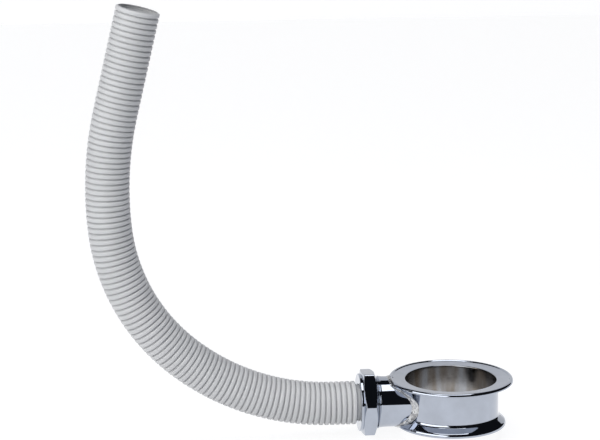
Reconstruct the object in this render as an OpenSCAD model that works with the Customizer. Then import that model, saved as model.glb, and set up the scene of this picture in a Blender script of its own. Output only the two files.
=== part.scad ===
// Overflow kit: a flanged waste ring with a brazed outlet, a union nut and a corrugated hose. Millimetres.
// The ring's axis is Z and its middle is the origin. The outlet points along -X and the hose rises in the XZ plane.

/* [Waste ring] */

// Bore of the waste ring, clear of a 1 1/2 inch waste thread
ring_bore = 51.1; // [49:0.1:53]
// Thickness of the ring's tube wall
ring_wall = 1.3; // [1:0.1:2]
// Height of the ring over both flanges
ring_height = 26.6; // [25:0.2:32]
// Diameter of the top flange
top_flange_diameter = 70; // [66:0.5:76]
// Thickness of the top flange at its rim
top_flange_rim = 1.9; // [1.6:0.1:2.6]
// Depth that the top flange is dished from its rim to the bore
dish_depth = 1; // [0.4:0.1:1.3]
// Width of the flat land around the top flange
rim_land = 0.9; // [0.5:0.1:2]
// Radius of the fillet under the top flange
top_fillet = 2.4; // [1:0.1:3]
// Diameter of the bottom flange
bottom_flange_diameter = 62.4; // [61:0.2:65]
// Thickness of the bottom flange at its rim
bottom_flange_rim = 1.3; // [1:0.1:2]
// Radius of the cove above the bottom flange
bottom_cove = 6.5; // [6.5:0.1:8]
// Bevel on the edges of the ring's bore
bore_bevel = 0.4; // [0.2:0.1:0.6]

/* [Outlet spigot] */

// Outside diameter of the outlet tube
spigot_diameter = 28.4; // [27:0.1:28.8]
// Bore of the outlet tube
spigot_bore = 23.6; // [20:0.1:24]
// Length of the outlet tube past the top flange's rim, up to its thread
spigot_projection = 6; // [4:0.5:20]
// Swell of the outlet tube's diameter where it meets the thread
spigot_swell = 0.7; // [0.2:0.1:0.8]
// Outside diameter of the outlet's thread
thread_diameter = 30.2; // [29.8:0.1:30.8]
// Length of the outlet's thread
thread_length = 6.3; // [5.5:0.1:10]
// Length of the sloping run-out on each end of the thread
thread_runout = 0.8; // [0.4:0.1:1]

/* [Braze bead] */

// Width that the bead covers on the outlet tube
bead_leg = 1.3; // [1:0.1:2]
// Height of the bead above the outlet tube, at the tube's sides
bead_height = 2.8; // [2:0.1:3.4]
// Height of the lumps that the braze froze in
bead_lump = 0.35; // [0:0.05:0.5]
// How suddenly the bead steps out towards the flanges
bead_sweep = 2.2; // [1.5:0.1:3]

/* [Union nut] */

// Size of the nut across its flats
nut_across_flats = 34.4; // [34:0.1:38]
// Turn of the hexagon's corner from straight up, away from the front, in degrees
nut_turn = 37; // [0:1:59]
// Length of thread left bare between the outlet tube and the nut
nut_gap = 1.9; // [1:0.1:2.4]
// Diameter of the round collar on the hose side of the nut
nut_collar_diameter = 32.4; // [31.6:0.1:33.6]
// Length of that collar
nut_collar_length = 1.4; // [0.8:0.1:2]
// Diameter of the nut's bevelled face on the ring side
nut_face_diameter = 31.6; // [31.2:0.1:33]
// Length of the bevel on the ring side, at the hexagon's corners
nut_bevel = 1.7; // [1:0.1:2]
// Length of the bevel on the hose side, at the hexagon's corners
nut_back_bevel = 1.1; // [0.5:0.1:1.5]
// Thickness of the lip that holds the tail piece
nut_lip = 1.8; // [1.2:0.1:2.2]
// Clearance between the nut and the thread, on the diameter
thread_clearance = 0.2; // [0.1:0.05:0.4]
// Clearance between the nut's lip and the tail piece, on the diameter
lip_clearance = 0.8; // [0.4:0.1:1.2]

/* [Sealing washer] */

// Thickness of the rubber washer
washer_thickness = 1.8; // [1:0.1:3]
// Outside diameter of the rubber washer
washer_diameter = 27.6; // [26:0.1:28.6]

/* [Hose tail] */

// Outside diameter of the tail piece's tube, which fills the hose
tail_diameter = 20.4; // [18:0.1:21]
// Wall of the tail piece's tube
tail_wall = 1.4; // [1:0.1:2]
// Diameter of the tail piece's flange
tail_flange_diameter = 27.4; // [26:0.1:28.6]
// Thickness of the tail piece's flange
tail_flange_thickness = 1.5; // [1:0.1:2.5]
// Length of the tail piece inside the hose
tail_grip = 14; // [8:0.5:20]
// Clearance between the tail piece and the hose, on the diameter
tail_clearance = 0.2; // [0.1:0.05:0.4]

/* [Hose] */

// Diameter of the hose over its ribs
hose_diameter = 24.3; // [23.6:0.1:26]
// Depth of the grooves between the ribs
groove_depth = 1.2; // [0.8:0.1:1.2]
// Distance from rib to rib
rib_pitch = 3; // [3:0.1:5]
// Share of the pitch that the flat top of a rib takes
rib_top_share = 0.5; // [0.3:0.05:0.6]
// Bare length of tail piece between the nut and the hose
hose_gap = 1.5; // [0.5:0.1:4]
// Radius of the first bend, at the hose's middle line
first_bend_radius = 129; // [110:1:180]
// Angle of the first bend
first_bend_angle = 40; // [20:1:50]
// Radius of the second bend
second_bend_radius = 110; // [90:1:160]
// Angle of the second bend
second_bend_angle = 44; // [20:1:60]
// Radius of the last bend
last_bend_radius = 198; // [100:1:260]
// Angle of the last bend
last_bend_angle = 19; // [5:1:30]
// Length of the straight stretch up to the open end
open_end_length = 58; // [20:1:90]

/* [Hidden] */

chrome = [0.72, 0.75, 0.8];
braze = [0.85, 0.84, 0.8];
rubber = [0.12, 0.12, 0.13];
plastic = [0.86, 0.87, 0.88];

// Faces of a round piece
round_steps = 96;
// Length by which a cutter passes the face it cuts
pass = 1;

// Waste ring
ring_r = ring_bore / 2 + ring_wall;
top_z = ring_height / 2;
top_r = top_flange_diameter / 2;
bottom_r = bottom_flange_diameter / 2;
top_under = top_z - top_flange_rim;
cove_r = ring_r + bottom_cove;
// The cove ends on the bottom flange's rim
cove_z = bottom_flange_rim - top_z + sqrt(pow(bottom_cove, 2) - pow(cove_r - bottom_r, 2));

// Places along the outlet, counted from the ring's axis
shoulder = top_r + spigot_projection;
spigot_end = shoulder + thread_length;
washer_end = spigot_end + washer_thickness;
flange_end = washer_end + tail_flange_thickness;
nut_start = shoulder + nut_gap;
nut_end = flange_end + nut_lip;
hose_start = nut_end + hose_gap;
tail_end = hose_start + tail_grip;

// Braze bead: stations around the tube, and how far its section starts inside the tube
bead_steps = 60;
bead_sink = 0.6;

// Union nut
nut_length = nut_end - nut_start;
corner_r = nut_across_flats / 2 / cos(30);

// Hose: the flats of its bore clear the tail piece
hose_sides = 16;
hose_bore_r = (tail_diameter + tail_clearance) / 2 / cos(180 / hose_sides);
rib_r = hose_diameter / 2;
groove_r = rib_r - groove_depth;
bends = [
    [first_bend_radius, first_bend_angle],
    [second_bend_radius, second_bend_angle],
    [last_bend_radius, last_bend_angle]
];
bore_rings = 30;

function bend_length(b) = b[0] * b[1] * PI / 180;
function bends_length(k = 0) = k == len(bends) ? 0 : bend_length(bends[k]) + bends_length(k + 1);

ribs = floor((tail_grip + bends_length() + open_end_length) / rib_pitch);

// Where a straight run or a bend ends: distance from the axis, height and heading
function run(at, length) = [at[0] + length * cos(at[2]), at[1] + length * sin(at[2]), at[2]];
function turn(at, radius, angle) = [
    at[0] + radius * (sin(at[2] + angle) - sin(at[2])),
    at[1] + radius * (cos(at[2]) - cos(at[2] + angle)),
    at[2] + angle
];
function along_bends(s, at, k) =
    k == len(bends) ? run(at, s)
    : s <= bend_length(bends[k]) ? turn(at, bends[k][0], s / bends[k][0] * 180 / PI)
    : along_bends(s - bend_length(bends[k]), turn(at, bends[k][0], bends[k][1]), k + 1);
function along_hose(s) =
    let (start = [hose_start, 0, 0])
    s <= tail_grip ? run(start, s) : along_bends(s - tail_grip, run(start, tail_grip), 0);

// A point of the hose's wall, from its distance and radius about the middle line
function wall_point(p, angle) =
    let (at = along_hose(p[0]), side = p[1] * cos(angle))
    [-at[0] + side * sin(at[2]), p[1] * sin(angle), at[1] + side * cos(at[2])];

// Solid of revolution about the outlet's axis, from points of distance and radius
module turned(points) {
    rotate([0, -90, 0])
        rotate_extrude($fn = round_steps)
            polygon([for (p = points) [p[1], p[0]]]);
}

// Outline of the ring with its middle still full. With over, its flanges carry on up and down by that length.
module ring_outline(over = 0) {
    dished = [[top_r - rim_land, top_z], [ring_bore / 2, top_z - dish_depth], [0, top_z - dish_depth]];
    difference() {
        polygon(concat(
            [
                [0, -top_z - over],
                [bottom_r, -top_z - over],
                [bottom_r, cove_z],
                [ring_r, cove_z],
                [ring_r, top_under - top_fillet],
                [ring_r + top_fillet, top_under],
                [top_r, top_under],
                [top_r, top_z + over]
            ],
            over > 0 ? [[0, top_z + over]] : dished
        ));
        translate([cove_r, cove_z])
            circle(r = bottom_cove, $fn = round_steps);
        translate([ring_r + top_fillet, top_under - top_fillet])
            circle(r = top_fillet, $fn = round_steps);
    }
}

// Space that the ring takes up, which the outlet and the bead are cut to
module ring_space() {
    rotate_extrude($fn = round_steps)
        ring_outline(over = 2 * bead_height + pass);
}

module waste_ring() {
    bore_r = ring_bore / 2;
    bore_top = top_z - dish_depth;
    color(chrome)
    difference() {
        rotate_extrude($fn = round_steps)
            difference() {
                ring_outline();
                polygon([
                    [-pass, -top_z - pass],
                    [bore_r + bore_bevel + pass, -top_z - pass],
                    [bore_r, bore_bevel - top_z],
                    [bore_r, bore_top - bore_bevel],
                    [bore_r + bore_bevel + pass, bore_top + pass],
                    [-pass, bore_top + pass]
                ]);
            }
        rotate([0, -90, 0])
            cylinder(h = ring_r + pass, d = spigot_bore, $fn = round_steps);
    }
}

module outlet_spigot() {
    tube_r = spigot_diameter / 2;
    thread_r = thread_diameter / 2;
    color(chrome)
    difference() {
        turned([
            [0, spigot_bore / 2],
            [0, tube_r],
            [top_r + pass, tube_r],
            [shoulder, tube_r + spigot_swell / 2],
            [shoulder + thread_runout, thread_r],
            [spigot_end - thread_runout, thread_r],
            [spigot_end, thread_r - thread_runout],
            [spigot_end, spigot_bore / 2]
        ]);
        ring_space();
    }
}

// The bead follows the corner between tube and ring, which steps out to the rim of each flange
function bead_reach(z) =
    let (rim = z > 0 ? top_r : bottom_r, level = z > 0 ? top_under : top_z - bottom_flange_rim)
    ring_r + (rim - ring_r) * pow(min(1, abs(z) / level), bead_sweep);
function lump(angle, k) = bead_lump * (sin(7 * angle + 40 * k) + sin(13 * angle - 70 * k)) / 2;

module braze_bead() {
    tube_r = spigot_diameter / 2;
    inner = top_r - ring_r;
    // Section of the bead: distance out along the tube, and share of the bead's height above it
    section = [[bead_leg, -1], [bead_leg, 0.05], [0.1, 0.5], [-bead_leg, 0.9], [-inner, 1], [-inner, -1]];
    n = len(section);
    points = [
        for (i = [0 : bead_steps - 1])
            let (
                angle = i * 360 / bead_steps,
                z = tube_r * sin(angle),
                height = bead_height * (0.08 + 0.92 * pow(cos(angle), 2)),
                corner = sqrt(pow(bead_reach(z), 2) - pow(tube_r * cos(angle), 2))
            )
                for (k = [0 : n - 1])
                    let (
                        bump = k > 0 && k < 4 ? lump(angle, k) : 0,
                        r = tube_r + (section[k][1] < 0 ? -bead_sink : section[k][1] * height + bump * height / bead_height)
                    )
                        [-corner - section[k][0] - bump, r * cos(angle), r * sin(angle)]
    ];
    faces = [
        for (i = [0 : bead_steps - 1])
            for (k = [0 : n - 1])
                let (next = (i + 1) % bead_steps, after = (k + 1) % n)
                    [i * n + k, i * n + after, next * n + after, next * n + k]
    ];
    color(braze)
    difference() {
        polyhedron(points, faces, convexity = 6);
        ring_space();
        rotate([0, -90, 0])
            cylinder(h = shoulder, d = spigot_diameter, $fn = round_steps);
    }
}

module union_nut() {
    face_r = nut_face_diameter / 2;
    collar_r = nut_collar_diameter / 2;
    back = nut_end - nut_collar_length;
    // The bevels are cones that pass the hexagon's corners
    over_r = corner_r + pass;
    thread_r = (thread_diameter + thread_clearance) / 2;
    lip_r = (tail_diameter + lip_clearance) / 2;
    color(chrome)
    difference() {
        intersection() {
            rotate([0, -90, 0])
                translate([0, 0, nut_start])
                    rotate([0, 0, nut_turn])
                        cylinder(h = nut_length, r = corner_r, $fn = 6);
            turned([
                [nut_start, 0],
                [nut_start, face_r],
                [nut_start + nut_bevel * (over_r - face_r) / (corner_r - face_r), over_r],
                [back - nut_back_bevel * (over_r - collar_r) / (corner_r - collar_r), over_r],
                [back, collar_r],
                [nut_end - 0.3, collar_r],
                [nut_end, collar_r - 0.3],
                [nut_end, 0]
            ]);
        }
        turned([
            [nut_start - pass, 0],
            [nut_start - pass, thread_r],
            [flange_end, thread_r],
            [flange_end, lip_r],
            [nut_end + pass, lip_r],
            [nut_end + pass, 0]
        ]);
    }
}

module sealing_washer() {
    color(rubber)
    turned([
        [spigot_end, tail_diameter / 2],
        [spigot_end, washer_diameter / 2],
        [washer_end, washer_diameter / 2],
        [washer_end, tail_diameter / 2]
    ]);
}

module hose_tail() {
    tube_r = tail_diameter / 2;
    bore_r = tube_r - tail_wall;
    color(plastic)
    turned([
        [washer_end, bore_r],
        [washer_end, tail_flange_diameter / 2],
        [flange_end, tail_flange_diameter / 2],
        [flange_end, tube_r],
        [tail_end - tail_wall, tube_r],
        [tail_end, tube_r - tail_wall / 2],
        [tail_end, bore_r]
    ]);
}

module overflow_hose() {
    length = ribs * rib_pitch;
    half_top = rib_top_share / 2;
    // Wall of the hose in section: out along the ribs and back along the bore
    outside = [
        for (i = [0 : ribs - 1])
            for (p = [[0, groove_r], [0.5 - half_top, rib_r], [0.5 + half_top, rib_r]])
                [(i + p[0]) * rib_pitch, p[1]]
    ];
    inside = [for (i = [bore_rings : -1 : 0]) [length * i / bore_rings, hose_bore_r]];
    section = concat(outside, [[length, groove_r]], inside);
    n = len(section);
    points = [for (i = [0 : hose_sides - 1]) for (p = section) wall_point(p, i * 360 / hose_sides)];
    faces = [
        for (i = [0 : hose_sides - 1])
            for (k = [0 : n - 1])
                let (next = (i + 1) % hose_sides, after = (k + 1) % n)
                    [i * n + k, i * n + after, next * n + after, next * n + k]
    ];
    color(plastic)
    polyhedron(points, faces, convexity = 10);
}

waste_ring();
outlet_spigot();
braze_bead();
union_nut();
sealing_washer();
hose_tail();
overflow_hose();
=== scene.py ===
import math

import bpy
import numpy as np
from mathutils import Matrix, Vector


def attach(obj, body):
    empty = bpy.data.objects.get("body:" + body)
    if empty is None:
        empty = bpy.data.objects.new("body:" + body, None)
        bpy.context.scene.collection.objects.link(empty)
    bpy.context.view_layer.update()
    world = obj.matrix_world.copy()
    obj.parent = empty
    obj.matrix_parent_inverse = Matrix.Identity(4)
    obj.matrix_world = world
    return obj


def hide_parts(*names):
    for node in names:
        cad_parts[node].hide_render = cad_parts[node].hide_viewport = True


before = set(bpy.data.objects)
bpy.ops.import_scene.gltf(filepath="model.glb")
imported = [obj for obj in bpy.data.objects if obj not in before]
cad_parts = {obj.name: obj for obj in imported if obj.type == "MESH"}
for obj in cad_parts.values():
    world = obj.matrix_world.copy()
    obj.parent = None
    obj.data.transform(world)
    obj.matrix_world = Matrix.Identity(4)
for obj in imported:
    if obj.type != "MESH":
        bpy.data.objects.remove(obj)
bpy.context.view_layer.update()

# Overflow kit: chromed waste ring with a brazed outlet, union nut and corrugated hose.
# The ring's axis is Z, the outlet points along -X and the camera looks along +Y. Sizes are in millimetres.
mm = 0.001
scene = bpy.context.scene
scene.view_settings.view_transform = "Standard"


# ---- camera and studio

studio = {
    "lens": 156.75,
    "sensor": 36.0,
    "photoWidth": 600,
    "photoHeight": 440,
    "ringPixel": (450.48, 399.17),  # where the ring's middle falls in the photo
    "distance": 1469.85,            # along the view direction to the ring's middle
    "yaw": 6.43,                    # the outlet's end stands this much nearer
    "elevation": 13.323,
    "floorHeight": -20.6,
    "sweepDepth": 1500,
    "sweepHalfWidth": 1500,
    "sweepHeight": 1900,
    "floorFront": -900,
    "floorHalfWidth": 2600,
    "floorEmission": 1.25,
    "floorShare": 0.7,
    "sweepReflected": 0.72,
    "keyAzimuth": -50,
    "keyElevation": 24,
    "keyDistance": 2000,
    "keySize": (2600, 1200),
    "keyRadiance": 2.5,
    "topSize": (900, 700),
    "topPlace": (0, -160, 1150),
    "topRadiance": 2.4,
    "roomColour": (0.75, 0.82, 1.0),
    "roomLight": 0.22,
    "roomReflected": 0.012,
}


def makeCamera():
    s = studio
    yaw, tilt = math.radians(s["yaw"]), math.radians(s["elevation"])
    right = Vector((math.cos(yaw), -math.sin(yaw), 0))
    away = Vector((math.sin(yaw), math.cos(yaw), 0))
    forward = away * math.cos(tilt) - Vector((0, 0, math.sin(tilt)))
    up = away * math.sin(tilt) + Vector((0, 0, math.cos(tilt)))
    focal = s["lens"] / s["sensor"] * s["photoWidth"]
    across = (s["ringPixel"][0] - s["photoWidth"] / 2) / focal * s["distance"]
    above = (s["photoHeight"] / 2 - s["ringPixel"][1]) / focal * s["distance"]
    place = -(right * across + up * above + forward * s["distance"]) * mm
    camera = bpy.data.cameras.new("studioCamera")
    camera.lens = s["lens"]
    camera.sensor_width = s["sensor"]
    camera.clip_end = 20
    cameraObject = bpy.data.objects.new("studioCamera", camera)
    turn = Matrix((right, up, -forward)).transposed().to_4x4()
    cameraObject.matrix_world = Matrix.Translation(place) @ turn
    scene.collection.objects.link(cameraObject)
    scene.camera = cameraObject


def makePanel(name, place, aim, size, radiance):
    lamp = bpy.data.lights.new(name, "AREA")
    lamp.shape = "RECTANGLE"
    lamp.size, lamp.size_y = size[0] * mm, size[1] * mm
    lamp.energy = radiance * math.pi * lamp.size * lamp.size_y
    lampObject = bpy.data.objects.new(name, lamp)
    place = Vector(place) * mm
    lampObject.location = place
    lampObject.rotation_euler = (Vector(aim) * mm - place).to_track_quat("-Z", "Y").to_euler()
    scene.collection.objects.link(lampObject)


def makeRoom():
    s = studio
    world = bpy.data.worlds.new("darkRoom")
    scene.world = world
    world.use_nodes = True
    tree = world.node_tree
    background = tree.nodes["Background"]
    background.inputs["Color"].default_value = (*s["roomColour"], 1)
    rays = tree.nodes.new("ShaderNodeLightPath")
    level = tree.nodes.new("ShaderNodeMapRange")
    level.inputs["To Min"].default_value = s["roomLight"]
    level.inputs["To Max"].default_value = s["roomReflected"]
    tree.links.new(rays.outputs["Is Glossy Ray"], level.inputs["Value"])
    tree.links.new(level.outputs["Result"], background.inputs["Strength"])


def paperFinish(name, reflected):
    # White paper that the camera and the metal see as white, and that still takes the object's shadow
    material = bpy.data.materials.new(name)
    material.use_nodes = True
    nodes, links = material.node_tree.nodes, material.node_tree.links
    nodes.clear()
    output = nodes.new("ShaderNodeOutputMaterial")
    paper = nodes.new("ShaderNodeBsdfDiffuse")
    paper.inputs["Color"].default_value = (0.86, 0.86, 0.87, 1)
    glow = nodes.new("ShaderNodeEmission")
    rays = nodes.new("ShaderNodeLightPath")
    level = nodes.new("ShaderNodeMapRange")
    level.inputs["To Min"].default_value = studio["floorEmission"]
    level.inputs["To Max"].default_value = studio["floorEmission"] * reflected
    links.new(rays.outputs["Is Glossy Ray"], level.inputs["Value"])
    links.new(level.outputs["Result"], glow.inputs["Strength"])
    seen = nodes.new("ShaderNodeMath")
    seen.operation = "ADD"
    seenAll = nodes.new("ShaderNodeMath")
    seenAll.operation = "ADD"
    seenAll.use_clamp = True
    share = nodes.new("ShaderNodeMath")
    share.operation = "MULTIPLY"
    share.inputs[1].default_value = studio["floorShare"]
    mix = nodes.new("ShaderNodeMixShader")
    links.new(rays.outputs["Is Camera Ray"], seen.inputs[0])
    links.new(rays.outputs["Is Glossy Ray"], seen.inputs[1])
    links.new(seen.outputs[0], seenAll.inputs[0])
    links.new(rays.outputs["Is Transmission Ray"], seenAll.inputs[1])
    links.new(seenAll.outputs[0], share.inputs[0])
    links.new(share.outputs[0], mix.inputs["Fac"])
    links.new(paper.outputs[0], mix.inputs[1])
    links.new(glow.outputs[0], mix.inputs[2])
    links.new(mix.outputs[0], output.inputs["Surface"])
    return material


def stagePlane(name, corners, material):
    mesh = bpy.data.meshes.new(name)
    mesh.from_pydata([Vector(c) * mm for c in corners], [], [(0, 1, 2, 3)])
    mesh.materials.append(material)
    plane = bpy.data.objects.new(name, mesh)
    scene.collection.objects.link(plane)


def makeStage():
    s = studio
    low, wide, deep = s["floorHeight"], s["floorHalfWidth"], s["sweepDepth"]
    stagePlane("whiteFloor", [
        (-wide, s["floorFront"] - 1800, low), (wide, s["floorFront"] - 1800, low),
        (wide, deep, low), (-wide, deep, low)], paperFinish("whitePaper", 1.0))
    half = s["sweepHalfWidth"]
    stagePlane("whiteBackdrop", [
        (-half, deep, low), (half, deep, low),
        (half, deep, s["sweepHeight"]), (-half, deep, s["sweepHeight"])],
        paperFinish("backdropPaper", s["sweepReflected"]))


def makeLamps():
    s = studio
    azimuth, height = math.radians(s["keyAzimuth"]), math.radians(s["keyElevation"])
    towards = Vector((math.sin(azimuth) * math.cos(height), -math.cos(azimuth) * math.cos(height), math.sin(height)))
    makePanel("keyPanel", towards * s["keyDistance"], (0, 0, 0), s["keySize"], s["keyRadiance"])
    makePanel("topPanel", s["topPlace"], (0, 0, 0), s["topSize"], s["topRadiance"])


makeCamera()
makeRoom()
makeStage()
makeLamps()
print("camera, floor and lamps are in place")


# ---- finishes

def startFinish(name, colour, roughness, metallic=0.0):
    material = bpy.data.materials.new(name)
    material.use_nodes = True
    nodes, links = material.node_tree.nodes, material.node_tree.links
    shader = nodes["Principled BSDF"]
    shader.inputs["Base Color"].default_value = (*colour, 1)
    shader.inputs["Roughness"].default_value = roughness
    shader.inputs["Metallic"].default_value = metallic
    return material, nodes, links, shader


def objectNoise(nodes, links, scale, detail=2.0, stretch=(1, 1, 1)):
    # Noise on object coordinates: scale is waves to the metre, stretch slows it along an axis
    place = nodes.new("ShaderNodeTexCoord")
    mapping = nodes.new("ShaderNodeMapping")
    mapping.inputs["Scale"].default_value = stretch
    noise = nodes.new("ShaderNodeTexNoise")
    noise.inputs["Scale"].default_value = scale
    noise.inputs["Detail"].default_value = detail
    links.new(place.outputs["Object"], mapping.inputs["Vector"])
    links.new(mapping.outputs["Vector"], noise.inputs["Vector"])
    return noise.outputs["Fac"]


def spread(nodes, links, value, low, high, start=0.3, end=0.7):
    ranged = nodes.new("ShaderNodeMapRange")
    ranged.inputs["From Min"].default_value = start
    ranged.inputs["From Max"].default_value = end
    ranged.inputs["To Min"].default_value = low
    ranged.inputs["To Max"].default_value = high
    links.new(value, ranged.inputs["Value"])
    return ranged.outputs["Result"]


def blendColours(nodes, links, share, first, second):
    mix = nodes.new("ShaderNodeMix")
    mix.data_type = "RGBA"
    links.new(share, mix.inputs["Factor"])
    for socket, colour in ((mix.inputs[6], first), (mix.inputs[7], second)):
        if isinstance(colour, tuple):
            socket.default_value = (*colour, 1)
        else:
            links.new(colour, socket)
    return mix.outputs[2]


def addBump(nodes, links, shader, height, strength, distance, before=None):
    bump = nodes.new("ShaderNodeBump")
    bump.inputs["Strength"].default_value = strength
    bump.inputs["Distance"].default_value = distance * mm
    links.new(height, bump.inputs["Height"])
    if before:
        links.new(before, bump.inputs["Normal"])
    links.new(bump.outputs["Normal"], shader.inputs["Normal"])
    return bump.outputs["Normal"]


def storedValue(nodes, name):
    attribute = nodes.new("ShaderNodeAttribute")
    attribute.attribute_name = name
    return attribute.outputs["Fac"]


chromeLook = {
    "colour": (0.45, 0.485, 0.56),
    "clouded": (0.40, 0.43, 0.49),
    "boreColour": (0.25, 0.225, 0.20),
    "boreStreak": (0.38, 0.39, 0.41),
    "polish": (0.015, 0.05),
    "borePolish": (0.12, 0.22),
    "ripple": 0.10,
    "brushing": 0.03,
}


def chromeFinish(name="chrome", hasBore=False):
    look = chromeLook
    material, nodes, links, shader = startFinish(name, look["colour"], look["polish"][0], 1.0)
    cloud = spread(nodes, links, objectNoise(nodes, links, 90, 3), 0, 1)
    colour = blendColours(nodes, links, cloud, look["colour"], look["clouded"])
    haze = objectNoise(nodes, links, 260, 4)
    roughness = spread(nodes, links, haze, *look["polish"])
    if hasBore:
        inside = storedValue(nodes, "bore")
        streak = spread(nodes, links, objectNoise(nodes, links, 140, 2, (1, 1, 0.12)), 0, 1, 0.42, 0.62)
        boreColour = blendColours(nodes, links, streak, look["boreColour"], look["boreStreak"])
        colour = blendColours(nodes, links, inside, colour, boreColour)
        mixRoughness = nodes.new("ShaderNodeMix")
        links.new(inside, mixRoughness.inputs["Factor"])
        links.new(roughness, mixRoughness.inputs[2])
        links.new(spread(nodes, links, haze, *look["borePolish"]), mixRoughness.inputs[3])
        roughness = mixRoughness.outputs[0]
    links.new(colour, shader.inputs["Base Color"])
    links.new(roughness, shader.inputs["Roughness"])
    ripple = addBump(nodes, links, shader, objectNoise(nodes, links, 110, 1), look["ripple"], 0.02)
    addBump(nodes, links, shader, objectNoise(nodes, links, 900, 3), look["brushing"], 0.01, ripple)
    return material


brazeLook = {
    "colour": (0.62, 0.63, 0.64),
    "flux": (0.33, 0.33, 0.34),
    "polish": (0.10, 0.30),
}


def brazeFinish():
    look = brazeLook
    material, nodes, links, shader = startFinish("braze", look["colour"], look["polish"][0], 1.0)
    patches = spread(nodes, links, objectNoise(nodes, links, 420, 4), 0, 1, 0.45, 0.6)
    links.new(blendColours(nodes, links, patches, look["colour"], look["flux"]), shader.inputs["Base Color"])
    links.new(spread(nodes, links, objectNoise(nodes, links, 700, 3), *look["polish"]), shader.inputs["Roughness"])
    addBump(nodes, links, shader, objectNoise(nodes, links, 800, 4), 0.6, 0.15)
    return material


plasticLook = {
    "colour": (0.70, 0.70, 0.69),
    "crest": (0.73, 0.73, 0.72),
    # groove: painted shade, a darker colour painted into the hose's grooves
    "groove": (0.50, 0.50, 0.50),
    "polish": (0.38, 0.50),
}


def hoseFinish():
    look = plasticLook
    material, nodes, links, shader = startFinish("hosePlastic", look["colour"], 0.45)
    mottle = spread(nodes, links, objectNoise(nodes, links, 60, 3), 0, 1)
    skin = blendColours(nodes, links, mottle, look["colour"], look["crest"])
    # Painted shade: the stored groove mask paints the grooves darker than the crests
    links.new(blendColours(nodes, links, storedValue(nodes, "groove"), skin, look["groove"]),
              shader.inputs["Base Color"])
    links.new(spread(nodes, links, objectNoise(nodes, links, 500, 3), *look["polish"]), shader.inputs["Roughness"])
    addBump(nodes, links, shader, objectNoise(nodes, links, 1800, 3), 0.15, 0.05)
    return material


def tailFinish():
    look = plasticLook
    material, nodes, links, shader = startFinish("tailPlastic", look["colour"], 0.4)
    mottle = spread(nodes, links, objectNoise(nodes, links, 160, 3), 0, 1)
    links.new(blendColours(nodes, links, mottle, look["colour"], look["crest"]), shader.inputs["Base Color"])
    links.new(spread(nodes, links, objectNoise(nodes, links, 500, 3), *look["polish"]), shader.inputs["Roughness"])
    addBump(nodes, links, shader, objectNoise(nodes, links, 1500, 2), 0.1, 0.05)
    return material


def rubberFinish():
    material, nodes, links, shader = startFinish("washerRubber", (0.03, 0.03, 0.032), 0.7)
    bloom = spread(nodes, links, objectNoise(nodes, links, 300, 4), 0, 1)
    links.new(blendColours(nodes, links, bloom, (0.025, 0.025, 0.027), (0.06, 0.06, 0.062)),
              shader.inputs["Base Color"])
    links.new(spread(nodes, links, objectNoise(nodes, links, 900, 2), 0.6, 0.8), shader.inputs["Roughness"])
    addBump(nodes, links, shader, objectNoise(nodes, links, 2500, 2), 0.2, 0.05)
    return material


chrome = chromeFinish()
ringChrome = chromeFinish("ringChrome", True)
braze = brazeFinish()
hosePlastic = hoseFinish()
tailPlastic = tailFinish()
washerRubber = rubberFinish()
print("finishes are made")


# ---- shared mesh tools

def addPiece(name, mesh, material):
    mesh.materials.clear()
    mesh.materials.append(material)
    piece = bpy.data.objects.new(name, mesh)
    scene.collection.objects.link(piece)
    return piece


def skinMesh(name, rows):
    # Skin over rows of points, closed round each row and from the last row to the first
    points = np.asarray(rows, float)
    count, sides = points.shape[:2]
    across, along = np.meshgrid(np.arange(sides), np.arange(count))
    nextSide, nextRow = (across + 1) % sides, (along + 1) % count
    quads = np.stack([along * sides + across, along * sides + nextSide,
                      nextRow * sides + nextSide, nextRow * sides + across], -1).reshape(-1, 4)
    flat = points.reshape(-1, 3)
    a, b, c, d = (flat[quads[:, k]] for k in range(4))
    volume = (np.cross(a, b) * c).sum() + (np.cross(a, c) * d).sum()
    if volume < 0:
        quads = quads[:, ::-1]
    mesh = bpy.data.meshes.new(name)
    mesh.from_pydata((flat * mm).tolist(), [], quads.tolist())
    mesh.polygons.foreach_set("use_smooth", [True] * len(mesh.polygons))
    mesh.update()
    return mesh


def arcPoints(centre, radius, start, end, steps):
    angles = np.radians(np.linspace(start, end, steps + 1))
    return [(centre[0] + radius * math.cos(a), centre[1] + radius * math.sin(a)) for a in angles]


def linePoints(start, end, steps):
    # Points after start, up to and with end
    return [(start[0] + (end[0] - start[0]) * k / steps, start[1] + (end[1] - start[1]) * k / steps)
            for k in range(1, steps + 1)]


def aboutZ(profile, sides):
    turn = np.radians(np.arange(sides) * 360 / sides)
    radius, height = np.array(profile).T
    return np.stack([np.outer(radius, np.cos(turn)), np.outer(radius, np.sin(turn)),
                     np.outer(height, np.ones(sides))], -1)


def aboutOutlet(places, radii, turn):
    # Rows about the outlet's axis: place is counted from the ring's axis along -X, turn from straight up to the back
    places, radii = np.broadcast_arrays(places, radii)
    return np.stack([-places, radii * np.sin(turn), radii * np.cos(turn)], -1)


# ---- waste ring

ring = {
    "bore": 51.1,
    "wall": 1.3,
    "height": 26.6,
    "topDiameter": 70.0,
    "topRim": 1.9,
    "dish": 1.0,
    "lipRise": 0.55,
    "lipWidth": 0.7,
    "rimLand": 0.5,
    "rimRound": 1.3,
    "boreRound": 0.6,
    "topFillet": 2.4,
    "bottomDiameter": 62.4,
    "coveStart": -6.55,
    "coveRadius": 2.9,
    "flareAngle": 40,          # of the flare's cone below the horizontal
    "rimRadius": 2.4,
    "edgeRound": 0.25,
    "sides": 256,
}
ringWall = ring["bore"] / 2 + ring["wall"]
ringTop = ring["height"] / 2
outletBore = 23.6


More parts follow.
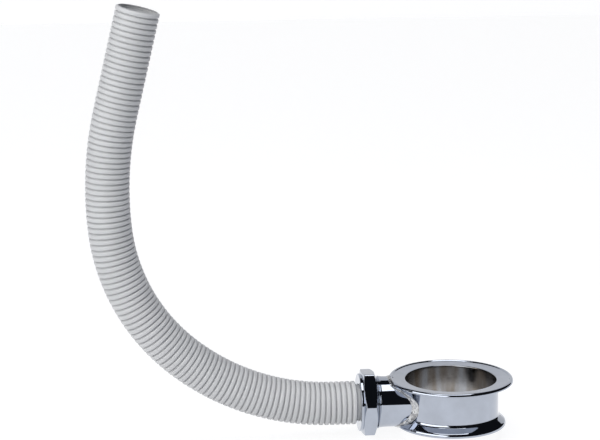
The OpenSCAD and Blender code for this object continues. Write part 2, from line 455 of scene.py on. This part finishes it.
def ringProfile():
    r = ring
    boreR, topR, lowR = r["bore"] / 2, r["topDiameter"] / 2, r["bottomDiameter"] / 2
    under = ringTop - r["topRim"]
    # Bore, from the bottom up
    edge, boreRound = r["edgeRound"], r["boreRound"]
    points = arcPoints((boreR + edge, -ringTop + edge), edge, 270, 180, 4)
    mouth = ringTop - r["dish"]
    points += linePoints(points[-1], (boreR, mouth - boreRound), 24)
    points += arcPoints((boreR + boreRound, mouth - boreRound), boreRound, 180, 96, 8)[1:]
    # Dished flange, lip and rounded rim
    foot = topR - r["rimRound"] - r["rimLand"] - r["lipWidth"]
    points += linePoints(points[-1], (foot, ringTop - r["lipRise"]), 10)
    steps = 10
    for k in range(1, steps + 1):
        t = k / steps
        points.append((foot + r["lipWidth"] * t, ringTop - r["lipRise"] * (1 - t * t * (3 - 2 * t))))
    points += linePoints(points[-1], (topR - r["rimRound"], ringTop), 2)
    drop = r["topRim"] - edge
    for k in range(1, 13):
        a = math.radians(90 - 90 * k / 12)
        points.append((topR - r["rimRound"] * (1 - math.cos(a)), ringTop - drop * (1 - math.sin(a))))
    points += arcPoints((topR - edge, under + edge), edge, 0, -90, 3)[1:]
    fillet = r["topFillet"]
    points += linePoints(points[-1], (ringWall + fillet, under), 6)
    points += arcPoints((ringWall + fillet, under - fillet), fillet, 90, 180, 12)[1:]
    # Wall, cove, flare and rounded bottom rim
    points += linePoints(points[-1], (ringWall, r["coveStart"]), 16)
    turn = 90 - r["flareAngle"]
    points += arcPoints((ringWall + r["coveRadius"], r["coveStart"]), r["coveRadius"], 180, 180 + turn, 10)[1:]
    rimCentre = flareRim()
    rim = r["rimRadius"]
    start = (rimCentre[0] + rim * math.cos(math.radians(turn)), rimCentre[1] + rim * math.sin(math.radians(turn)))
    points += linePoints(points[-1], start, 8)
    points += arcPoints(rimCentre, rim, turn, 0, 12)[1:]
    points += linePoints(points[-1], (lowR, -ringTop + edge), 1)
    points += arcPoints((lowR - edge, -ringTop + edge), edge, 0, -90, 3)[1:]
    points += linePoints(points[-1], (boreR + edge, -ringTop), 6)[:-1]
    return points


def flareRim():
    # Middle of the bottom rim's round, on the line that the flare's cone ends on
    r = ring
    turn = math.radians(90 - r["flareAngle"])
    lowR = r["bottomDiameter"] / 2
    coveEnd = (ringWall + r["coveRadius"] * (1 - math.cos(turn)), r["coveStart"] - r["coveRadius"] * math.sin(turn))
    centreR = lowR - r["rimRadius"]
    touchR = centreR + r["rimRadius"] * math.cos(turn)
    touchZ = coveEnd[1] - (touchR - coveEnd[0]) * math.tan(math.radians(r["flareAngle"]))
    return centreR, touchZ - r["rimRadius"] * math.sin(turn)


def boreOut(mesh, name):
    # Hole for the outlet, cut through the ring's wall
    turn = np.radians(np.arange(96) * 360 / 96)
    places = np.array([8.0, 32.0])[:, None]
    cutter = aboutOutlet(places, outletBore / 2 * np.ones((2, 96)), turn).reshape(-1, 3) * mm
    quads = [(k, (k + 1) % 96, 96 + (k + 1) % 96, 96 + k) for k in range(96)]
    cutMesh = bpy.data.meshes.new("outletCutter")
    cutMesh.from_pydata(cutter.tolist(), [], quads + [tuple(range(95, -1, -1)), tuple(range(96, 192))])
    cutObject = bpy.data.objects.new("outletCutter", cutMesh)
    scene.collection.objects.link(cutObject)
    ringObject = bpy.data.objects.new(name, mesh)
    scene.collection.objects.link(ringObject)
    cut = ringObject.modifiers.new("outlet", "BOOLEAN")
    cut.operation, cut.solver, cut.object = "DIFFERENCE", "EXACT", cutObject
    bpy.context.view_layer.update()
    done = bpy.data.meshes.new_from_object(ringObject.evaluated_get(bpy.context.evaluated_depsgraph_get()))
    bpy.data.objects.remove(ringObject)
    bpy.data.objects.remove(cutObject)
    done.name = name
    return done


def makeRing():
    mesh = boreOut(skinMesh("ringBlank", aboutZ(ringProfile(), ring["sides"])), "wasteRing")
    mesh.polygons.foreach_set("use_smooth", [True] * len(mesh.polygons))
    mesh.set_sharp_from_angle(angle=math.radians(40))
    places = np.array([v.co for v in mesh.vertices]) / mm
    radius = np.hypot(places[:, 0], places[:, 1])
    inside = np.clip((ring["bore"] / 2 + 0.3 - radius) / 0.2, 0, 1)
    bore = mesh.attributes.new("bore", "FLOAT", "POINT")
    bore.data.foreach_set("value", inside.astype(np.float32))
    piece = addPiece("wasteRing", mesh, ringChrome)
    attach(piece, "root")
    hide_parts("waste_ring")


makeRing()
print("waste ring is made")


# ---- outlet spigot, its thread and the nut's thread

outlet = {
    "diameter": 28.4,
    "bore": outletBore,
    "shoulder": 41.0,
    "swell": 0.7,
    "threadDiameter": 30.2,
    "threadLength": 6.3,
    "threadPitch": 1.814,
    "threadDepth": 1.0,
    "runOut": 0.8,
    "seat": 0.4,             # how far the tube goes into the ring's wall
    "sides": 192,
}
threadEnd = outlet["shoulder"] + outlet["threadLength"]


def ringReach(height):
    # Radius of the ring's outside at a height, as its profile has it
    r = ring
    under = ringTop - r["topRim"]
    fillet, cove = r["topFillet"], r["coveRadius"]
    turn = math.radians(90 - r["flareAngle"])
    coveEnd = r["coveStart"] - cove * math.sin(turn)
    if height > under:
        return r["topDiameter"] / 2
    if height > under - fillet:
        return ringWall + fillet - math.sqrt(fillet ** 2 - (height - under + fillet) ** 2)
    if height > r["coveStart"]:
        return ringWall
    if height > coveEnd:
        return ringWall + cove - math.sqrt(cove ** 2 - (r["coveStart"] - height) ** 2)
    rimCentre, rim = flareRim(), r["rimRadius"]
    if height > rimCentre[1] + rim * math.sin(turn):
        return ringWall + cove * (1 - math.cos(turn)) + (coveEnd - height) / math.tan(math.radians(r["flareAngle"]))
    if height > rimCentre[1]:
        return rimCentre[0] + math.sqrt(rim ** 2 - (height - rimCentre[1]) ** 2)
    return r["bottomDiameter"] / 2


def threadShare(places, turn):
    # 1 on the crest of the thread and 0 in its root, with narrow flats on both
    phase = (places / outlet["threadPitch"] - turn / (2 * math.pi)) % 1
    return np.clip(0.5 + (0.25 - np.abs(phase - 0.5)) * 2.6, 0, 1)


def makeSpigot():
    o = outlet
    turn = np.radians(np.arange(o["sides"]) * 360 / o["sides"])
    ones = np.ones_like(turn)
    tubeR, boreR = o["diameter"] / 2, o["bore"] / 2
    threadR = o["threadDiameter"] / 2
    rows = []

    def seatPlaces(radius):
        return np.array([math.sqrt(max((ringReach(radius * math.cos(a)) - o["seat"]) ** 2
                                       - (radius * math.sin(a)) ** 2, 0)) for a in turn])
    innerSeat, outerSeat = seatPlaces(boreR), seatPlaces(tubeR)
    for share in (0.0, 0.5):
        rows.append(aboutOutlet(innerSeat + (outerSeat - innerSeat) * share, boreR + (tubeR - boreR) * share, turn))
    swellStart = ring["topDiameter"] / 2 + 1
    for share in np.linspace(0, 1, 12):
        rows.append(aboutOutlet(outerSeat + (swellStart - outerSeat) * share, tubeR * ones, turn))
    for share in np.linspace(0.1, 1, 10):
        place = swellStart + (o["shoulder"] - swellStart) * share
        rows.append(aboutOutlet(place * ones, (tubeR + o["swell"] / 2 * share ** 2) * ones, turn))
    # Thread, faded in and out on its run-outs
    shoulderR = tubeR + o["swell"] / 2
    for place in np.linspace(o["shoulder"] + 0.1, threadEnd - 0.1, 58):
        into = min(1, (place - o["shoulder"]) / o["runOut"])
        out = min(1, (threadEnd - place) / o["runOut"])
        crest = (shoulderR + (threadR - shoulderR) * into) - o["runOut"] * (1 - out)
        root = shoulderR - (o["threadDepth"] - (threadR - shoulderR)) * into
        radii = crest + (np.minimum(root, crest) - crest) * (1 - threadShare(place, turn)) * min(1, into * 1.5)
        rows.append(aboutOutlet(place * ones, radii, turn))
    endR = threadR - o["runOut"]
    for radius in np.linspace(endR - 0.1, boreR + 0.15, 5):
        rows.append(aboutOutlet(threadEnd * ones, radius * ones, turn))
    for share in np.linspace(0, 1, 14)[:-1]:
        place = (threadEnd - 0.15) + (innerSeat - threadEnd + 0.15) * share
        rows.append(aboutOutlet(place, boreR * ones, turn))
    piece = addPiece("outletSpigot", skinMesh("outletSpigot", rows), chrome)
    piece.data.set_sharp_from_angle(angle=math.radians(50))
    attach(piece, "root")
    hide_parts("outlet_spigot")


makeSpigot()
print("outlet spigot is made")


# ---- braze bead

bead = {
    "leg": 1.5,              # width on the tube
    "height": 2.9,           # height above the tube, at its sides
    "endShare": 0.10,        # share of the height that is left at the top and bottom
    "fullness": 1.35,        # 1 is a flat fillet, 2 a hollow one
    "lumps": 0.38,
    "grain": 0.14,
    "sweep": 2.2,
    "sides": 360,
    "stations": 22,
    "sink": 0.5,
}


def beadReach(height):
    # The corner that the bead fills steps out towards the rim of each flange
    rim = ring["topDiameter"] / 2 if height > 0 else ring["bottomDiameter"] / 2
    level = ringTop - ring["topRim"] if height > 0 else ringTop - 1.3
    return ringWall + (rim - ringWall) * min(1, abs(height) / level) ** bead["sweep"]


def beadLump(angle, share, seed):
    # Lumps that run round the bead, smaller ones riding on larger ones
    value = math.sin(7 * angle + 3 * share + seed) + 0.8 * math.sin(13 * angle - 5 * share + 2 * seed)
    return value + 0.6 * math.sin(23 * angle + 7 * share + 3 * seed) + 0.45 * math.sin(41 * angle - 4 * share)


def makeBead():
    b = bead
    tubeR = outlet["diameter"] / 2
    columns = []
    for k in range(b["sides"]):
        angle = 2 * math.pi * k / b["sides"]
        side, up = math.sin(angle), math.cos(angle)
        height = b["height"] * (b["endShare"] + (1 - b["endShare"]) * side ** 2)
        column = []
        for n in range(b["stations"] + 1):
            share = n / b["stations"]
            swell = math.sin(math.pi * min(1, share * 1.15 + 0.06)) if share < 0.95 else 0
            lump = b["lumps"] * beadLump(angle, share, 0.7) / 2 * max(swell, 0)
            grain = b["grain"] * math.sin(97 * angle + 31 * share) * math.sin(53 * angle - 47 * share) * max(swell, 0)
            out = b["leg"] * (1 - share) ** b["fullness"] + (lump + grain) * (0.4 + 0.6 * (1 - share))
            over = height * share ** b["fullness"] + (lump + grain) * 0.5 * (height / b["height"]) + 0.05
            if n == 0:
                over = -b["sink"]
            radius = tubeR + over
            reach = beadReach(radius * up)
            corner = math.sqrt(max(reach ** 2 - (radius * side) ** 2, 0))
            column.append((-corner - out, radius * side, radius * up))
        last = column[-1]
        # Back into the ring's wall and the tube, out of sight
        column.append((last[0] + 0.5, last[1], last[2]))
        reach = beadReach((tubeR - b["sink"]) * up)
        corner = math.sqrt(max(reach ** 2 - ((tubeR - b["sink"]) * side) ** 2, 0))
        column.append((-corner + 0.4, (tubeR - b["sink"]) * side, (tubeR - b["sink"]) * up))
        columns.append(column)
    rows = np.array(columns).transpose(1, 0, 2)
    piece = addPiece("brazeBead", skinMesh("brazeBead", rows), braze)
    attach(piece, "root")
    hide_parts("braze_bead")


makeBead()
print("braze bead is made")


# ---- union nut

nut = {
    "acrossFlats": 34.4,
    "turn": 37.0,            # of a corner from straight up towards the back
    "start": 42.9,
    "end": 52.4,
    "faceDiameter": 31.6,
    "bevel": 1.7,
    "backBevel": 1.1,
    "collarDiameter": 32.4,
    "collarLength": 1.4,
    "collarRound": 0.35,
    "lip": 1.8,
    "lipBore": 21.2,
    "clearance": 0.1,
    "crispness": 150,        # the higher, the sharper the nut's edges
    "sides": 300,
}


def makeNut():
    n = nut
    turn = np.radians(np.arange(n["sides"]) * 360 / n["sides"])
    ones = np.ones_like(turn)
    flatR, cornerR = n["acrossFlats"] / 2, n["acrossFlats"] / 2 / math.cos(math.radians(30))
    faceR, collarR = n["faceDiameter"] / 2, n["collarDiameter"] / 2
    back = n["end"] - n["collarLength"]

    def coneRadius(place):
        front = faceR + (place - n["start"]) * (cornerR - faceR) / n["bevel"]
        rear = collarR + max(back - place, 0) * (cornerR - collarR) / n["backBevel"]
        left = n["end"] - place
        if left < n["collarRound"]:
            rear -= n["collarRound"] - math.sqrt(max(n["collarRound"] ** 2 - (n["collarRound"] - left) ** 2, 0))
        return front, rear

    def outerRadius(place):
        total = np.zeros_like(turn)
        for k in range(6):
            facing = np.cos(turn - math.radians(n["turn"] + 30 + 60 * k))
            total += np.maximum(facing / flatR, 1e-6) ** n["crispness"]
        for radius in coneRadius(place):
            total += (1 / radius) ** n["crispness"]
        return total ** (-1 / n["crispness"])

    rows = [aboutOutlet(place * ones, outerRadius(place), turn) for place in np.linspace(n["start"] + 0.02, n["end"], 70)]
    lipR = n["lipBore"] / 2
    for radius in np.linspace(collarR - n["collarRound"] - 0.3, lipR + 0.2, 6):
        rows.append(aboutOutlet(n["end"] * ones, radius * ones, turn))
    rows += [aboutOutlet(place * ones, lipR * ones, turn) for place in np.linspace(n["end"] - 0.2, n["end"] - n["lip"], 4)]
    rootR = outlet["threadDiameter"] / 2 + n["clearance"]
    seat = n["end"] - n["lip"]
    for radius in np.linspace(lipR + 0.4, rootR, 5):
        rows.append(aboutOutlet(seat * ones, radius * ones, turn))
    # Female thread, which the spigot's thread fits with clearance
    crestR = rootR - outlet["threadDepth"]
    for place in np.linspace(seat - 1.6, n["start"] + 0.15, 56):
        fade = min(1, (place - n["start"]) / 0.8) * min(1, max(0, (seat - 1.4 - place) / 0.8))
        share = threadShare(place, turn)
        rows.append(aboutOutlet(place * ones, rootR - (rootR - crestR) * (1 - share) * fade, turn))
    for share in (0.3, 0.7):
        rows.append(aboutOutlet(n["start"] * ones, (rootR + (faceR - rootR) * share) * ones, turn))
    piece = addPiece("unionNut", skinMesh("unionNut", rows), chrome)
    piece.data.set_sharp_from_angle(angle=math.radians(60))
    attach(piece, "root")
    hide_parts("union_nut")


makeNut()
print("union nut is made")


# ---- hose

hose = {
    "diameter": 24.3,
    "grooveDepth": 1.2,
    "pitch": 3.0,
    "grooveShare": 0.46,     # share of half a pitch that the groove takes
    "crestDome": 0.12,
    "wall": 0.55,
    "start": 53.9,
    "grip": 14.0,
    "bends": ((129, 40), (110, 44), (198, 19)),
    "ribs": 104,
    "ringsPerRib": 10,
    "sides": 40,
}


def hosePath():
    # Middle line of the hose: the grip, the bends and the straight run up to the open end
    h = hose
    place, height, heading = h["start"], 0.0, 0.0
    points, step = [], 0.5
    length = h["ribs"] * h["pitch"]
    runs = [(None, h["grip"])] + [(radius, radius * math.radians(angle)) for radius, angle in h["bends"]]
    runs.append((None, length - sum(run[1] for run in runs)))
    points.append((place, height))
    for radius, run in runs:
        count = max(1, round(run / step))
        for k in range(count):
            part = run / count
            turn = part / radius if radius else 0.0
            chord = 2 * radius * math.sin(turn / 2) if radius else part
            place += chord * math.cos(heading + turn / 2)
            height += chord * math.sin(heading + turn / 2)
            heading += turn
            points.append((place, height))
    return [(-p * mm, 0.0, z * mm) for p, z in points]


def addSocket(tree, name, kind, inout="INPUT"):
    return tree.interface.new_socket(name=name, in_out=inout, socket_type=kind)


def treeMath(tree, operation, first, second=None):
    node = tree.nodes.new("ShaderNodeMath")
    node.operation = operation
    for socket, value in zip(node.inputs, (first, second)):
        if value is None:
            continue
        if isinstance(value, (int, float)):
            socket.default_value = value
        else:
            tree.links.new(value, socket)
    return node.outputs[0]


def ribbedHoseTree():
    tree = bpy.data.node_groups.new("ribbedHose", "GeometryNodeTree")
    addSocket(tree, "Geometry", "NodeSocketGeometry")
    addSocket(tree, "Geometry", "NodeSocketGeometry", "OUTPUT")
    for name in ("Radius", "Groove Depth", "Pitch", "Groove Share", "Crest Dome"):
        addSocket(tree, name, "NodeSocketFloat")
    addSocket(tree, "Rings", "NodeSocketInt")
    addSocket(tree, "Sides", "NodeSocketInt")
    addSocket(tree, "Material", "NodeSocketMaterial")
    given = tree.nodes.new("NodeGroupInput").outputs
    result = tree.nodes.new("NodeGroupOutput")
    resample = tree.nodes.new("GeometryNodeResampleCurve")
    tree.links.new(given["Geometry"], resample.inputs["Curve"])
    tree.links.new(given["Rings"], resample.inputs["Count"])
    # Distance from the middle of the nearest rib: 0 on its crest, 1 in the groove
    along = tree.nodes.new("GeometryNodeSplineParameter").outputs["Length"]
    part = treeMath(tree, "FRACT", treeMath(tree, "DIVIDE", along, given["Pitch"]))
    fromCrest = treeMath(tree, "MULTIPLY", treeMath(tree, "ABSOLUTE", treeMath(tree, "SUBTRACT", part, 0.5)), 2)
    groove = tree.nodes.new("ShaderNodeMapRange")
    groove.interpolation_type = "SMOOTHSTEP"
    tree.links.new(fromCrest, groove.inputs["Value"])
    tree.links.new(treeMath(tree, "SUBTRACT", 1, given["Groove Share"]), groove.inputs["From Min"])
    sunk = treeMath(tree, "MULTIPLY", groove.outputs["Result"], given["Groove Depth"])
    domed = treeMath(tree, "MULTIPLY", treeMath(tree, "MULTIPLY", fromCrest, fromCrest), given["Crest Dome"])
    radius = treeMath(tree, "SUBTRACT", treeMath(tree, "SUBTRACT", given["Radius"], sunk), domed)
    # The groove mask is stored for the hose's material, which uses it to paint shade into the grooves
    mark = tree.nodes.new("GeometryNodeStoreNamedAttribute")
    mark.data_type, mark.domain = "FLOAT", "POINT"
    mark.inputs["Name"].default_value = "groove"
    tree.links.new(resample.outputs["Curve"], mark.inputs["Geometry"])
    tree.links.new(groove.outputs["Result"], mark.inputs["Value"])
    profile = tree.nodes.new("GeometryNodeCurvePrimitiveCircle")
    profile.inputs["Radius"].default_value = 1
    tree.links.new(given["Sides"], profile.inputs["Resolution"])
    sweep = tree.nodes.new("GeometryNodeCurveToMesh")
    tree.links.new(profile.outputs["Curve"], sweep.inputs["Profile Curve"])
    if "Scale" in sweep.inputs:
        tree.links.new(mark.outputs["Geometry"], sweep.inputs["Curve"])
        tree.links.new(radius, sweep.inputs["Scale"])
    else:
        widen = tree.nodes.new("GeometryNodeSetCurveRadius")
        tree.links.new(mark.outputs["Geometry"], widen.inputs["Curve"])
        tree.links.new(radius, widen.inputs["Radius"])
        tree.links.new(widen.outputs["Curve"], sweep.inputs["Curve"])
    smooth = tree.nodes.new("GeometryNodeSetShadeSmooth")
    tree.links.new(sweep.outputs["Mesh"], smooth.inputs["Geometry"])
    real = tree.nodes.new("GeometryNodeRealizeInstances")
    tree.links.new(smooth.outputs["Geometry"], real.inputs["Geometry"])
    paint = tree.nodes.new("GeometryNodeSetMaterial")
    tree.links.new(real.outputs["Geometry"], paint.inputs["Geometry"])
    tree.links.new(given["Material"], paint.inputs["Material"])
    tree.links.new(paint.outputs["Geometry"], result.inputs["Geometry"])
    return tree


def grownMesh(name, base, tree, values):
    # The tree's result on base, as a plain mesh
    modifier = base.modifiers.new(tree.name, "NODES")
    modifier.node_group = tree
    for item in tree.interface.items_tree:
        if item.item_type == "SOCKET" and item.in_out == "INPUT" and item.name in values:
            modifier[item.identifier] = values[item.name]
    bpy.context.view_layer.update()
    mesh = bpy.data.meshes.new_from_object(base.evaluated_get(bpy.context.evaluated_depsgraph_get()))
    base.modifiers.remove(modifier)
    mesh.name = name
    return mesh


def thickened(mesh, thickness, name):
    # Gives the skin a wall inwards, and closes its ends
    shell = bpy.data.objects.new(name, mesh)
    scene.collection.objects.link(shell)
    wall = shell.modifiers.new("wall", "SOLIDIFY")
    wall.thickness = thickness * mm
    wall.offset = -1
    wall.use_even_offset = False
    bpy.context.view_layer.update()
    done = bpy.data.meshes.new_from_object(shell.evaluated_get(bpy.context.evaluated_depsgraph_get()))
    bpy.data.objects.remove(shell)
    done.name = name
    return done


def facesOutwards(mesh):
    # Whether the first faces point away from the hose's middle line at its start
    face = mesh.polygons[0]
    centre = Vector((face.center.x, 0, 0))
    return (face.center - centre).dot(face.normal) > 0


def makeHose():
    h = hose
    curve = bpy.data.curves.new("hosePath", "CURVE")
    curve.dimensions = "3D"
    spline = curve.splines.new("POLY")
    path = hosePath()
    spline.points.add(len(path) - 1)
    for point, place in zip(spline.points, path):
        point.co = (*place, 1)
    base = bpy.data.objects.new("hosePath", curve)
    scene.collection.objects.link(base)
    skin = grownMesh("hoseSkin", base, ribbedHoseTree(), {
        "Radius": h["diameter"] / 2 * mm, "Groove Depth": h["grooveDepth"] * mm, "Pitch": h["pitch"] * mm,
        "Groove Share": h["grooveShare"], "Crest Dome": h["crestDome"] * mm,
        "Rings": h["ribs"] * h["ringsPerRib"] + 1, "Sides": h["sides"], "Material": hosePlastic})
    bpy.data.objects.remove(base)
    if not facesOutwards(skin):
        skin.flip_normals()
    piece = addPiece("overflowHose", thickened(skin, h["wall"], "overflowHose"), hosePlastic)
    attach(piece, "root")
    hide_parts("overflow_hose")


makeHose()
print("hose is made")


# ---- inner pieces, which keep their shapes from the frame

def finishNode(name, material):
    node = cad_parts[name]
    node.data.materials.clear()
    node.data.materials.append(material)


finishNode("sealing_washer", washerRubber)
finishNode("hose_tail", tailPlastic)
print("washer and tail piece are finished")
